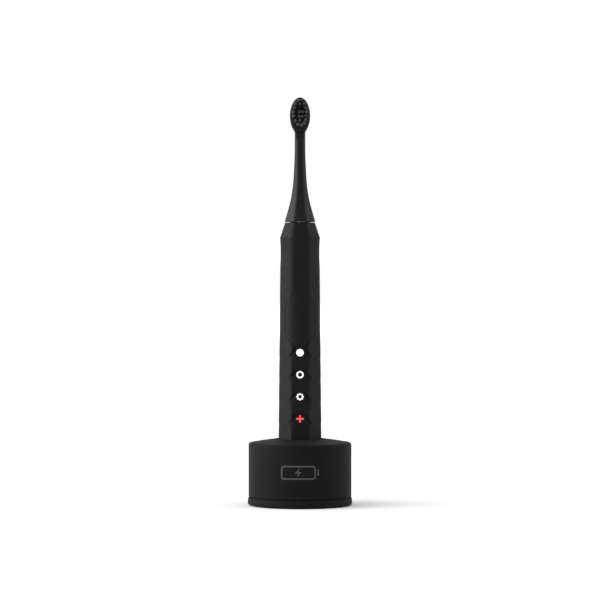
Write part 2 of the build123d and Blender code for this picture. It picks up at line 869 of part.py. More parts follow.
def cell_cradle():
    """Frame inside the handle: a trough for the cell, a flat for the main board, walls at the ends."""
    length = cradle_top_z - cradle_z
    with BuildPart() as cradle:
        with BuildSketch(Plane.XY.offset(cradle_z)):
            Circle(cradle_radius)
            with Locations((0, board_back_y - cradle_radius)):
                Rectangle(2 * cradle_radius, 2 * cradle_radius, mode=Mode.SUBTRACT)
        extrude(amount=length)
        with BuildSketch(Plane.XY.offset(cell_z - 1.0)):
            with Locations((0, cell_y)):
                Circle(cell_radius + slip_gap)
            with Locations((0, cell_y + cradle_radius / 2)):
                Rectangle(2 * (cell_radius + slip_gap), cradle_radius)
        extrude(amount=cell_length + 2.0, mode=Mode.SUBTRACT)
        window_top = cell_z - 1.0 - cradle_end_wall
        window_height = window_top - cradle_z - cradle_end_wall
        with BuildSketch(Plane.XY.offset(cradle_z + cradle_end_wall)):
            with Locations((0, cradle_radius / 2)):
                Rectangle(2 * cell_radius, cradle_radius)
        extrude(amount=window_height, mode=Mode.SUBTRACT)
        upper = cell_z + cell_length + 1.0 + cradle_end_wall
        with BuildSketch(Plane.XY.offset(upper)):
            with Locations((0, cradle_radius / 2)):
                Rectangle(2 * cell_radius, cradle_radius)
        extrude(amount=cradle_top_z - cradle_end_wall - upper, mode=Mode.SUBTRACT)
        with BuildSketch(Plane.XZ.offset(-board_back_y)):
            with Locations(*main_board_screw_places()):
                Circle(board_screw_radius)
        extrude(amount=-(main_board_screw_length + 0.3 - main_board_thickness), mode=Mode.SUBTRACT)
        hook_z = cradle_z + main_board_margin
        for side in (-1, 1):
            with BuildSketch(Plane.YZ.offset(side * (main_board_half - hook_width / 2))):
                Polygon(
                    (board_back_y, cradle_z),
                    (board_front_y - hook_lip, cradle_z),
                    (board_front_y - hook_lip, hook_z + 1.5),
                    (board_front_y - slip_gap, hook_z + 1.5),
                    (board_front_y - slip_gap, hook_z - slip_gap),
                    (board_back_y, hook_z - slip_gap),
                    align=None,
                )
            extrude(amount=hook_width / 2, both=True)
    return keep(cradle, "cell_cradle")


def battery_cell():
    """Round lithium cell with its button end."""
    with BuildPart() as cell:
        with BuildSketch(Plane.XY.offset(cell_z)):
            with Locations((0, cell_y)):
                Circle(cell_radius)
        extrude(amount=cell_length - 0.8)
        fillet(cell.edges().filter_by(GeomType.CIRCLE), 0.6)
        with BuildSketch(Plane.XY.offset(cell_z + cell_length - 0.8)):
            with Locations((0, cell_y)):
                Circle(cell_radius * 0.4)
        extrude(amount=0.8)
    return keep(cell, "battery_cell")


def battery_tabs():
    """Nickel strips that join the cell's two ends to the main board."""
    strip = 0.25
    with BuildPart() as tabs:
        for level in (cell_z - strip - 0.02, cell_z + cell_length + 0.02):
            with BuildSketch(Plane.XY.offset(level)):
                with Locations((0, cell_y)):
                    Rectangle(3.2, 2 * cell_radius * 0.8)
            extrude(amount=strip)
    return keep(tabs, "battery_tabs")


def main_board():
    """Long circuit board in front of the cell."""
    middle = (cradle_z + cradle_top_z) / 2
    length = cradle_top_z - cradle_z - 2 * main_board_margin
    with BuildPart() as board:
        with BuildSketch(Plane.XZ.offset(-board_back_y + 0.02)):
            with Locations((0, middle)):
                RectangleRounded(2 * main_board_half, length, 1.0)
            with Locations(*main_board_screw_places()):
                Circle(board_screw_radius + slip_gap, mode=Mode.SUBTRACT)
        extrude(amount=main_board_thickness - 0.02)
    return keep(board, "main_board")


def main_board_screws():
    """Two screws that fix the main board to the cradle."""
    screw = pan_screw(
        board_screw_radius - 0.02,
        main_board_screw_length,
        board_screw_head_radius,
        board_screw_head_height,
        board_screw_head_radius,
    )
    with BuildPart() as screws:
        for x, z in main_board_screw_places():
            with Locations(Location((x, board_front_y - board_screw_head_height, z), (-90, 0, 0))):
                add(screw)
    return keep(screws, "main_board_screws")


def board_chips():
    """Controller and power chips on the main board, between the switch and the lamps."""
    top_lamp = icon_heights()[0]
    middle = (switch_z + top_lamp) / 2
    with BuildPart() as chips:
        with BuildSketch(Plane.XZ.offset(-board_front_y)):
            with Locations((0, middle)):
                Rectangle(5.0, 5.0)
            with Locations((-4.2, middle - 6.0), (4.2, middle - 6.0)):
                Rectangle(2.0, 2.8)
            with Locations((0, middle + 6.5)):
                Rectangle(6.0, 1.8)
        extrude(amount=0.9)
    return keep(chips, "board_chips")


def indicator_lamps():
    """One small lamp on the board behind each indicator."""
    with BuildPart() as lamps:
        with BuildSketch(Plane.XZ.offset(-board_front_y)):
            with Locations(*[(0, z) for z in icon_heights()]):
                Rectangle(led_width, led_width * 0.7)
        extrude(amount=led_height)
    return keep(lamps, "indicator_lamps")


def lamp_mask():
    """Black light box between the board and the housing, with one cell for each lamp."""
    heights = icon_heights()
    cell = min(scale_pitch - 2 * mask_wall, 2 * icon_radius + 2.0)
    low = heights[-1] - cell / 2 - mask_wall
    high = heights[0] + cell / 2 + mask_wall
    half = icon_radius + 1.0
    depth = sqrt((cavity_radius - gasket_thickness - slip_gap) ** 2 - (half + mask_wall) ** 2)
    with BuildPart() as mask:
        with BuildSketch(Plane.XZ.offset(-board_front_y)):
            with Locations((0, (low + high) / 2)):
                Rectangle(2 * (half + mask_wall), high - low)
            with Locations(*[(0, z) for z in heights]):
                Rectangle(2 * half, cell, mode=Mode.SUBTRACT)
        extrude(amount=depth + board_front_y)
    return keep(mask, "lamp_mask")


def tact_switch():
    """Body of the push switch on the main board, hollow for its plunger."""
    plane = Plane.XZ.offset(-board_front_y)
    with BuildPart() as switch:
        with BuildSketch(plane):
            with Locations((0, switch_z)):
                RectangleRounded(switch_size, switch_size, 0.4)
        extrude(amount=switch_body_height)
        with BuildSketch(plane.offset(switch_body_height)):
            with Locations((0, switch_z)):
                Circle(plunger_radius + 0.08)
        extrude(amount=-(switch_body_height - 0.5), mode=Mode.SUBTRACT)
    return keep(switch, "switch_body")


def switch_plunger():
    """Plunger of the push switch."""
    back_y = switch_front_y + switch_body_height - 0.5 - button_travel - 0.1
    with BuildPart() as plunger:
        with BuildSketch(Plane.XZ.offset(-back_y)):
            with Locations((0, switch_z)):
                Circle(plunger_radius)
        extrude(amount=back_y - plunger_tip_y)
    return keep(plunger, "switch_plunger")


def motor_can():
    """Steel can of the vibration motor, with a seat for a bearing at each end."""
    with BuildPart() as can:
        with BuildSketch(Plane.XY.offset(motor_z)):
            Circle(motor_radius)
        extrude(amount=motor_length)
        fillet(can.edges().filter_by(GeomType.CIRCLE), 0.8)
        with BuildSketch(Plane.XY.offset(motor_z + motor_wall)):
            Circle(motor_radius - motor_wall)
        extrude(amount=motor_length - 2 * motor_wall, mode=Mode.SUBTRACT)
        with BuildSketch(Plane.XY.offset(motor_z)):
            Circle(bearing_radius + 0.01)
        extrude(amount=motor_length, mode=Mode.SUBTRACT)
    return keep(can, "motor_can")


def motor_coil():
    """Stator winding inside the can."""
    outer = motor_radius - motor_wall - 0.2
    inner = rotor_radius + rotor_gap
    return coil("motor_coil", inner, outer, motor_z + 6.0, motor_length - 12.0)


def bearing(name, face_z, outward):
    """Plain bush in one end of the motor can: a barrel inside and a flange against the end face."""
    bore = shaft_radius + shaft_clearance
    barrel_z = face_z - bearing_length if outward > 0 else face_z
    flange_z = face_z + 0.02 if outward > 0 else face_z - 0.02 - bearing_flange
    with BuildPart() as bush:
        add(ring(bore, bearing_radius, barrel_z - 0.05, bearing_length + 0.1))
        add(ring(bore, bearing_radius + 1.0, flange_z, bearing_flange))
    return keep(bush, name)


def motor_mount():
    """Rubber cup that carries the motor's rear end on the cradle."""
    outer = cavity_radius - slip_gap
    with BuildPart() as mount:
        add(ring(bearing_radius + 1.2, outer, cradle_top_z + 0.02, mount_thickness - 0.04))
        add(ring(motor_radius + slip_gap, outer, cradle_top_z + 0.02, mount_thickness + mount_skirt))
    return keep(mount, "motor_mount")


def nose_ring():
    """Ring that centres the motor's front end under the handle's nose."""
    lower = motor_top_z + 0.02
    upper = top_z - nose_wall - slip_gap
    outer = cavity_radius - slip_gap
    taper_z = shoulder_z - 1.0 - slip_gap
    inner = bearing_radius + 1.2
    with BuildPart() as nose:
        with BuildSketch(Plane.XZ):
            with BuildLine():
                Polyline(
                    (inner, lower),
                    (motor_radius + slip_gap, lower),
                    (motor_radius + slip_gap, lower - mount_skirt),
                    (outer, lower - mount_skirt),
                    (outer, taper_z),
                    (nose_radius - slip_gap, upper),
                    (seal_radius + 0.7, upper),
                    (seal_radius + 0.7, upper - 2.1),
                    (inner, upper - 2.1),
                    close=True,
                )
            make_face()
        revolve(axis=Axis.Z)
    return keep(nose, "nose_ring")


def shaft_seal():
    """Rubber boot that closes the handle's nose round the shaft."""
    inner = shaft_radius + shaft_clearance
    with BuildPart() as seal:
        with BuildSketch(Plane.XZ):
            with BuildLine():
                Polyline(
                    (inner, top_z - nose_wall - 2.0),
                    (seal_radius + 0.6, top_z - nose_wall - 2.0),
                    (seal_radius + 0.6, top_z - nose_wall - slip_gap),
                    (seal_radius - 0.02, top_z - nose_wall - slip_gap),
                    (seal_radius - 0.02, crown_z),
                    (inner + 0.6, crown_z + seal_proud),
                    (inner, crown_z + seal_proud),
                    close=True,
                )
            make_face()
        revolve(axis=Axis.Z)
    return keep(seal, "shaft_seal")


# ---- drive pieces --------------------------------------------------------------------------


def shaft_section(clearance):
    """The shaft's round section with one flat, larger by clearance."""
    radius = shaft_radius + clearance
    cut = radius - (shaft_radius - shaft_flat_depth + clearance)
    with BuildSketch(mode=Mode.PRIVATE) as section:
        Circle(radius)
        with Locations((0, radius - cut / 2)):
            Rectangle(2 * radius, cut, mode=Mode.SUBTRACT)
    return section.sketch


def drive_shaft():
    """Steel shaft from the motor's rear bearing to the tip that the head grips."""
    bottom = motor_z - bearing_flange - 0.4
    flat_z = top_z + head_gap
    with BuildPart() as shaft:
        with BuildSketch(Plane.XY.offset(bottom)):
            Circle(shaft_radius)
        extrude(amount=flat_z - bottom)
        with BuildSketch(Plane.XY.offset(flat_z)):
            add(shaft_section(0))
        extrude(amount=shaft_tip_z - flat_z)
        chamfer(shaft.faces().sort_by(Axis.Z)[-1].edges(), 0.3)
    return keep(shaft, "drive_shaft")


def rotor():
    """Magnet rotor on the shaft, inside the winding."""
    with BuildPart() as magnet:
        add(ring(shaft_radius + 0.01, rotor_radius, motor_z + 7.0, motor_length - 14.0))
        chamfer(magnet.edges().filter_by(GeomType.CIRCLE).group_by(SortBy.LENGTH)[-1], 0.4)
    return keep(magnet, "rotor_magnet")


# ---- brush head pieces -----------------------------------------------------------------------


def neck_section(inset, rise, half_x, half_y, shift_y=0.0):
    """One level section of the neck, drawn in by inset."""
    corner = min(top_corner, 0.8 * half_y**2 / half_x) - inset / 2
    return octagon(half_x - inset, half_y - inset, corner, head_z + rise, shift_y)


def plate_face(inset, low_z):
    """Front outline of the bristle plate: an oval that flows into the neck, level at low_z."""
    with BuildSketch() as face:
        with Locations((0, plate_z)):
            Ellipse(plate_half_width - inset, plate_top_length - inset)
        with Locations((0, plate_z - plate_bottom_length / 2)):
            Rectangle(2 * (neck_half - neck_overlap - inset), plate_bottom_length)
        crooks = face.vertices().filter_by_position(Axis.Y, plate_z - plate_top_length, plate_z - neck_half)
        fillet(crooks, plate_crook)
        with Locations((0, low_z - plate_bottom_length)):
            Rectangle(4 * plate_half_width, 2 * plate_bottom_length, mode=Mode.SUBTRACT)
    return face.sketch


def bristle_plate():
    """The plate that carries the tufts: a rounded oval, with the bristle bed raised on its front."""
    base_front = pad_front - pad_step
    with BuildPart() as plate:
        with BuildSketch(Plane.XZ.offset(base_front)):
            add(plate_face(0, plate_z - plate_bottom_length))
        extrude(amount=-(base_front + plate_back))
        fillet(plate.faces().sort_by(Axis.Y)[0].edges(), plate_front_round)
        fillet(plate.faces().sort_by(Axis.Y)[-1].edges(), plate_back_round)
        with BuildSketch(Plane.XZ.offset(pad_front)):
            add(plate_face(pad_inset, groove_z))
        extrude(amount=-pad_front)
        fillet(plate.faces().sort_by(Axis.Y)[0].edges(), 0.3)
    return plate.part


def head_body():
    """Moulded neck and bristle plate, hollow at its foot, with a hole for each tuft."""
    base_front = pad_front - pad_step
    inside_plate = (plate_back + base_front) / 2 - 0.15
    neck_shift = (plate_back - base_front) / 2
    neck_top = neck_section(0, groove_z + 1.2 - head_z, neck_half, inside_plate, neck_shift)
    flare = [neck_section(0, *station) for station in neck_stations]
    hollow = [station for station in neck_stations if station[0] <= neck_hollow_rise]
    with BuildPart() as body:
        loft(sections=flare)
        loft(sections=[flare[-1], neck_top], ruled=True)
        add(bristle_plate())
        loft(sections=[neck_section(head_wall, *station) for station in hollow], mode=Mode.SUBTRACT)
        with BuildSketch(Plane.XY.offset(head_z)):
            Circle(sleeve_radius + 0.03)
        extrude(amount=sleeve_height + 0.3, mode=Mode.SUBTRACT)
        with BuildSketch(Plane.XZ.offset(pad_front)):
            with Locations((0, groove_z - groove_height / 2)):
                Rectangle(2 * groove_half_width, groove_height)
        extrude(amount=-(pad_step + groove_depth), mode=Mode.SUBTRACT)
        with BuildSketch(Plane.XZ.offset(pad_front)):
            with Locations(*outer_tuft_places(), *inner_tuft_places(), *short_tuft_places()):
                Circle(tuft_radius + 0.03)
        extrude(amount=-tuft_hole_depth, mode=Mode.SUBTRACT)
    return keep(body, "head_body")


def outer_tuft_places():
    """Places of the outer tufts, evenly spaced along an oval from its lowest point."""
    oval = Edge.make_ellipse(outer_ring_half, outer_ring_length, start_angle=-90, end_angle=270)
    steps = [oval.position_at(index / outer_tufts) for index in range(outer_tufts)]
    return [(step.X, plate_z + outer_ring_rise + step.Y) for step in steps]


def inner_tuft_places():
    """Two columns of tufts and a single one at each end; the uppermost row is short and made apart."""
    middle = plate_z + inner_rise
    rows = [middle + (index - (inner_rows - 1) / 2) * inner_row_pitch for index in range(inner_rows - 1)]
    pairs = [(side * inner_column_half, row) for row in rows for side in (-1, 1)]
    return pairs + [(0, middle - inner_end_reach), (0, middle + inner_end_reach)]


def short_tuft_places():
    row = plate_z + inner_rise + (inner_rows - 1) / 2 * inner_row_pitch
    return [(-inner_column_half, row), (inner_column_half, row)]


def tufts(name, places, length, short_places=(), short_length=0.0):
    """A group of nylon tufts, each a round post, some of them short."""
    root = pad_front - tuft_hole_depth + 0.05
    with BuildPart() as group:
        with BuildSketch(Plane.XZ.offset(root)):
            with Locations(*places):
                Circle(tuft_radius)
        extrude(amount=length + tuft_hole_depth)
        if short_places:
            with BuildSketch(Plane.XZ.offset(root)):
                with Locations(*short_places):
                    Circle(tuft_radius)
            extrude(amount=short_length + tuft_hole_depth)
    return keep(group, name)


def coupling_sleeve():
    """Liner of the head: a tube with the shaft's section inside and a disc that closes the foot."""
    disc_radius = head_base_half - head_wall - 1.1
    clip_z = head_z + sleeve_height * 0.45
    with BuildPart() as sleeve:
        with BuildSketch(Plane.XY.offset(head_z + 0.3)):
            Circle(sleeve_radius)
        extrude(amount=sleeve_height - 0.3)
        with BuildSketch(Plane.XY.offset(head_z + 0.3)):
            Circle(disc_radius)
        extrude(amount=sleeve_flange)
        with BuildSketch(Plane.XY.offset(head_z)):
            add(shaft_section(shaft_clearance))
        extrude(amount=shaft_reach, mode=Mode.SUBTRACT)
        clip_outer = shaft_radius + shaft_clearance + clip_wall + 0.05
        add(ring(shaft_radius, clip_outer, clip_z, clip_height + 0.1), mode=Mode.SUBTRACT)
    return keep(sleeve, "coupling_sleeve")


def retaining_clip():
    """Split spring ring in the sleeve that holds the head on the shaft."""
    clip_z = head_z + sleeve_height * 0.45 + 0.05
    inner = shaft_radius + shaft_clearance
    with BuildPart() as clip:
        add(ring(inner, inner + clip_wall, clip_z, clip_height))
        with BuildSketch(Plane.XY.offset(clip_z)):
            with Locations((0, inner)):
                Rectangle(1.2, 2 * clip_wall + 1.0)
        extrude(amount=clip_height, mode=Mode.SUBTRACT)
    return keep(clip, "retaining_clip")


def build_all():
    os.makedirs("parts", exist_ok=True)
    base_housing()
    bottom_cover()
    foot_pad()
    cover_screws()
    charger_board()
    board_screws()
    board_components()
    charging_inlet()
    ferrite_core("ferrite_core")
    hub_inner = core_radius + slip_gap
    hub_outer = hub_inner + bobbin_hub_wall
    bobbin(
        "coil_bobbin",
        hub_inner,
        core_disc_radius - 0.1,
        bobbin_z,
        bobbin_height,
        bobbin_flange,
        bobbin_hub_wall,
    )
    coil(
        "charging_coil",
        hub_outer + 0.05,
        core_disc_radius - 1.0,
        bobbin_z + bobbin_flange + 0.05,
        bobbin_height - 2 * bobbin_flange - 0.1,
    )
    handle_housing()
    power_button()
    button_gasket()
    for kind in icon_rows:
        indicator(kind)
    end_cap()
    end_cap_seal()
    bobbin(
        "receiver_bobbin",
        socket_outer + 0.1,
        receiver_radius,
        receiver_z,
        receiver_height,
        receiver_flange,
        0.6,
    )
    coil(
        "receiver_coil",
        socket_outer + 0.75,
        receiver_radius - 0.3,
        receiver_z + receiver_flange + 0.05,
        receiver_height - 2 * receiver_flange - 0.1,
    )
    cell_cradle()
    battery_cell()
    battery_tabs()
    main_board()
    main_board_screws()
    board_chips()
    indicator_lamps()
    lamp_mask()
    tact_switch()
    switch_plunger()
    motor_can()
    motor_coil()
    bearing("rear_bearing", motor_z, -1)
    bearing("front_bearing", motor_top_z, 1)
    motor_mount()
    nose_ring()
    shaft_seal()
    drive_shaft()
    rotor()
    head_body()
    tufts("outer_tufts", outer_tuft_places(), tuft_length)
    tufts(
        "inner_tufts",
        inner_tuft_places(),
        tuft_length - inner_trim,
        short_tuft_places(),
        tuft_length - short_trim,
    )
    coupling_sleeve()
    retaining_clip()


build_all()
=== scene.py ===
import math
import random

import bmesh
import bpy
from bpy.props import FloatProperty, FloatVectorProperty, IntProperty, PointerProperty
from mathutils import Matrix, Vector


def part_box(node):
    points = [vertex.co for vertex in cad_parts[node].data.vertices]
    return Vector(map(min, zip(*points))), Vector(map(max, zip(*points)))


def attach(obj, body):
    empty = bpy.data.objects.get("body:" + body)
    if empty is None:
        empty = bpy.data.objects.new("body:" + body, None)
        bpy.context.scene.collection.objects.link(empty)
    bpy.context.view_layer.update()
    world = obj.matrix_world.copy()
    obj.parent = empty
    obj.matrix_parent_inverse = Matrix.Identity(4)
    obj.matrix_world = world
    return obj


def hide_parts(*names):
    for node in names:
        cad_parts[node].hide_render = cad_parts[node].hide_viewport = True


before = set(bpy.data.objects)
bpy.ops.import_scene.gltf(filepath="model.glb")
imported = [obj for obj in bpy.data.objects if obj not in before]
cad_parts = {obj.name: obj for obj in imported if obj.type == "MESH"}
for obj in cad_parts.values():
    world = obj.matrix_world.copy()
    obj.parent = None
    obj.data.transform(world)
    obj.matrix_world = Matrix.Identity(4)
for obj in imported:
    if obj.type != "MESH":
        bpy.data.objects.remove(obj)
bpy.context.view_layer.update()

bl_info = {
    "name": "Toothbrush Charger Finishes",
    "version": (1, 0, 0),
    "blender": (4, 5, 0),
    "location": "View3D > Sidebar > Toothbrush",
    "description": "Finishes, bristles and studio for an electric toothbrush on its charger",
    "category": "Object",
}

TIP_BAND = 0.0002  # vertices this near a tuft's foremost plane belong to its tip
TUFT_REACH = 0.0018  # tip vertices this close together belong to one tuft
UPRIGHT = (math.radians(90), 0, 0)  # turns a flat primitive to face -Y


# ---- settings --------------------------------------------------------------------------------


class MouldingSettings(bpy.types.PropertyGroup):
    handle_colour: FloatVectorProperty(
        name="Handle colour",
        description="Colour of the soft-touch handle and button",
        subtype="COLOR",
        default=(0.0032, 0.0032, 0.0035),
    )
    base_colour: FloatVectorProperty(
        name="Base colour",
        description="Colour of the charger's housing and cover",
        subtype="COLOR",
        default=(0.0062, 0.0062, 0.0065),
    )
    head_colour: FloatVectorProperty(
        name="Head colour",
        description="Colour of the brush head's neck and plate",
        subtype="COLOR",
        default=(0.0038, 0.0038, 0.0041),
    )
    grain: FloatProperty(
        name="Grain size",
        description="Size of the fine grain in the mouldings",
        default=0.00028,
        unit="LENGTH",
    )
    grain_depth: FloatProperty(
        name="Grain depth",
        description="Strength of the fine grain's relief",
        default=0.16,
        min=0.0,
        max=1.0,
    )


class BristleSettings(bpy.types.PropertyGroup):
    filament_radius: FloatProperty(
        name="Filament radius",
        description="Radius of one nylon filament",
        default=0.000095,
        unit="LENGTH",
    )
    rings: IntProperty(
        name="Rings",
        description="Rings of filaments around the middle one in a tuft",
        default=3,
        min=1,
        max=5,
    )
    splay: FloatProperty(
        name="Splay",
        description="How far the tips of a tuft spread, as a share of its width",
        default=0.1,
        min=0.0,
        max=0.5,
    )
    ragged: FloatProperty(
        name="Ragged trim",
        description="Spread of the filaments' lengths",
        default=0.00022,
        unit="LENGTH",
    )
    tip_colour: FloatVectorProperty(
        name="Tip colour",
        description="Colour of the polished tips",
        subtype="COLOR",
        default=(0.17, 0.17, 0.175),
    )
    # Painted shade: this dark root colour stands in for the shade deep among the filaments, not for the
    # nylon's own colour
    root_shade_colour: FloatVectorProperty(
        name="Root colour",
        description="Colour of the filaments near the plate",
        subtype="COLOR",
        default=(0.016, 0.016, 0.017),
    )


class IndicatorSettings(bpy.types.PropertyGroup):
    white: FloatVectorProperty(
        name="White",
        description="Colour of the dot, the ring and the toothed ring",
        subtype="COLOR",
        default=(0.9, 0.9, 0.9),
    )
    red: FloatVectorProperty(
        name="Red",
        description="Colour of the plus",
        subtype="COLOR",
        default=(0.72, 0.07, 0.05),
    )
    white_glow: FloatProperty(
        name="White glow",
        description="Light that the dot gives off",
        default=0.42,
        min=0.0,
    )
    ring_glow: FloatProperty(
        name="Ring glow",
        description="Light that the ring and the toothed ring give off",
        default=0.22,
        min=0.0,
    )
    red_glow: FloatProperty(
        name="Red glow",
        description="Light that the red window gives off",
        default=0.5,
        min=0.0,
    )


class MarkSettings(bpy.types.PropertyGroup):
    width: FloatProperty(
        name="Mark width",
        description="Width of the battery sign on the front of the charger",
        default=0.026,
        unit="LENGTH",
    )
    height: FloatProperty(
        name="Mark height",
        description="Height of the battery sign",
        default=0.0094,
        unit="LENGTH",
    )
    stroke: FloatProperty(
        name="Stroke",
        description="Width of the sign's lines",
        default=0.0011,
        unit="LENGTH",
    )
    level: FloatProperty(
        name="Level",
        description="Height of the sign's middle above the floor",
        default=0.0243,
        unit="LENGTH",
    )
    relief: FloatProperty(
        name="Relief",
        description="How far the sign stands proud of the housing",
        default=0.00008,
        unit="LENGTH",
    )
    colour: FloatVectorProperty(
        name="Mark colour",
        description="Colour of the sign, close to the housing's own",
        subtype="COLOR",
        default=(0.03, 0.03, 0.032),
    )


class StudioSettings(bpy.types.PropertyGroup):
    distance: FloatProperty(
        name="Camera distance",
        description="Distance of the camera from the brush's axis",
        default=1.684,
        unit="LENGTH",
    )
    eye_level: FloatProperty(
        name="Eye level",
        description="Height of the camera above the floor",
        default=0.1395,
        unit="LENGTH",
    )
    lens: FloatProperty(
        name="Lens",
        description="Focal length of the camera, in millimetres",
        default=148.5,
    )
    floor_colour: FloatVectorProperty(
        name="Floor colour",
        description="Colour of the pale floor",
        subtype="COLOR",
        default=(0.93, 0.93, 0.93),
    )
    sky: FloatProperty(
        name="Sky",
        description="Brightness of the soft light from overhead",
        default=1.28,
        min=0.0,
    )
    key: FloatProperty(
        name="Key",
        description="Brightness of the soft light from the left",
        default=7.0,
        min=0.0,
    )
    back: FloatProperty(
        name="Back",
        description="Brightness of the soft light from behind",
        default=0.25,
        min=0.0,
    )
    ambient: FloatProperty(
        name="Ambient",
        description="Even light from all round",
        default=0.02,
        min=0.0,
    )
    fill: FloatProperty(
        name="Fill",
        description="Brightness of the soft light from the right",
        default=2.35,
        min=0.0,
    )


# ---- materials -------------------------------------------------------------------------------


class Finish:
    """A Principled material and the few nodes that every finish here is made of."""

    def __init__(self, name):
        self.material = bpy.data.materials.new(name)
        self.material.use_nodes = True
        self.tree = self.material.node_tree
        self.shader = self.tree.nodes["Principled BSDF"]
        self.place = self.tree.nodes.new("ShaderNodeTexCoord")

    def set(self, **values):
        for socket, value in values.items():
            wanted = socket.replace("_", " ")
            if isinstance(value, (tuple, list)) or hasattr(value, "r"):
                value = (*value[:3], 1.0)
            self.shader.inputs[wanted].default_value = value

    def link(self, out_socket, in_socket):
        self.tree.links.new(out_socket, in_socket)

    def noise(self, size, detail=2.0, roughness=0.5, stretch=(1.0, 1.0, 1.0)):
        mapping = self.tree.nodes.new("ShaderNodeMapping")
        mapping.inputs["Scale"].default_value = stretch
        texture = self.tree.nodes.new("ShaderNodeTexNoise")
        texture.inputs["Scale"].default_value = 1.0 / size
        texture.inputs["Detail"].default_value = detail
        texture.inputs["Roughness"].default_value = roughness
        self.link(self.place.outputs["Object"], mapping.inputs["Vector"])
        self.link(mapping.outputs["Vector"], texture.inputs["Vector"])
        return texture.outputs["Fac"]

    def bands(self, pitch, axis, distortion=0.0):
        texture = self.tree.nodes.new("ShaderNodeTexWave")
        texture.wave_type = "BANDS" if axis in "XYZ" else "RINGS"
        if axis in "XYZ":
            texture.bands_direction = axis
        else:
            texture.rings_direction = axis.upper()
        texture.inputs["Scale"].default_value = 0.314 / pitch
        texture.inputs["Distortion"].default_value = distortion
        self.link(self.place.outputs["Object"], texture.inputs["Vector"])
        return texture.outputs["Fac"]

    def spread(self, value, low, high):
        """Maps a 0 to 1 pattern onto a range of numbers."""
        node = self.tree.nodes.new("ShaderNodeMapRange")
        node.inputs["To Min"].default_value = low
        node.inputs["To Max"].default_value = high
        self.link(value, node.inputs["Value"])
        return node.outputs["Result"]

    def ramp(self, value, stops):
        """Maps a pattern onto colours: stops are (position, colour)."""
        node = self.tree.nodes.new("ShaderNodeValToRGB")
        elements = node.color_ramp.elements
        while len(elements) < len(stops):
            elements.new(0.5)
        for element, (position, colour) in zip(elements, stops):
            element.position = position
            element.color = (*colour[:3], 1.0)
        self.link(value, node.inputs["Fac"])
        return node.outputs["Color"]

    def bump(self, height, depth, reach):
        """Adds relief to what the shader's normal already has."""
        node = self.tree.nodes.new("ShaderNodeBump")
        node.inputs["Strength"].default_value = depth
        node.inputs["Distance"].default_value = reach
        self.link(height, node.inputs["Height"])
        normal = self.shader.inputs["Normal"]
        if normal.is_linked:
            self.link(normal.links[0].from_socket, node.inputs["Normal"])
        self.link(node.outputs["Normal"], normal)


def shade(colour, factor):
    return tuple(min(1.0, channel * factor) for channel in colour[:3])


def moulded(name, colour, roughness, specular=0.3, grain=0.00028, depth=0.16, marks=0.08):
    """Moulded plastic: fine spark-eroded grain, faint cloudiness in its colour and gloss."""
    finish = Finish(name)
    finish.set(Specular_IOR_Level=specular)
    cloud = finish.noise(0.011, detail=3.0)
    colours = [(0.3, shade(colour, 0.88)), (0.7, shade(colour, 1.12))]
    finish.link(finish.ramp(cloud, colours), finish.shader.inputs["Base Color"])
    rubbed = finish.noise(0.006, detail=4.0, roughness=0.6)
    gloss = finish.spread(rubbed, roughness - marks, roughness + marks)
    finish.link(gloss, finish.shader.inputs["Roughness"])
    finish.bump(finish.noise(grain, detail=1.0), depth, grain * 0.35)
    return finish


def soft_touch(name, colour, roughness, grain, depth, specular=0.14):
    """Rubbery lacquer over plastic: matte, with a faint sheen at the edges."""
    finish = moulded(name, colour, roughness, specular, grain, depth, marks=0.06)
    finish.set(Sheen_Weight=0.012, Sheen_Roughness=0.45)
    return finish


def rubber(name, colour, roughness=0.75):
    """Dull rubber with a soft, slightly uneven skin."""
    finish = moulded(name, colour, roughness, specular=0.2, grain=0.0005, depth=0.2, marks=0.1)
    finish.bump(finish.noise(0.003, detail=2.0), 0.15, 0.0002)
    return finish


def metal(name, colour, roughness, stretch, tarnish=0.12):
    """Bare metal with fine lines from drawing, turning or grinding."""
    finish = Finish(name)
    finish.set(Metallic=1.0)
    cloud = finish.noise(0.004, detail=3.0)
    colours = [(0.25, shade(colour, 1.0 - tarnish)), (0.75, shade(colour, 1.0 + tarnish / 2))]
    finish.link(finish.ramp(cloud, colours), finish.shader.inputs["Base Color"])
    lines = finish.noise(0.0012, detail=3.0, roughness=0.65, stretch=stretch)
    finish.link(finish.spread(lines, roughness * 0.7, roughness * 1.4), finish.shader.inputs["Roughness"])
    finish.bump(lines, 0.12, 0.00005)
    return finish


def winding(name, colour):
    """Enamelled copper wire, turn beside turn, with painted shade in the grooves between turns and a painted
    highlight on their crowns.
    """
    finish = Finish(name)
    finish.set(Metallic=0.85, Coat_Weight=0.6, Coat_Roughness=0.12)
    turns = finish.bands(0.0005, "Z", distortion=0.15)
    # Painted shade and highlight: each turn is darkened towards its grooves and lightened on its crown
    colours = [(0.0, shade(colour, 0.35)), (0.35, shade(colour, 0.85)), (0.8, shade(colour, 1.15))]
    finish.link(finish.ramp(turns, colours), finish.shader.inputs["Base Color"])
    finish.link(finish.spread(finish.noise(0.002), 0.22, 0.38), finish.shader.inputs["Roughness"])
    finish.bump(turns, 0.7, 0.0002)
    return finish


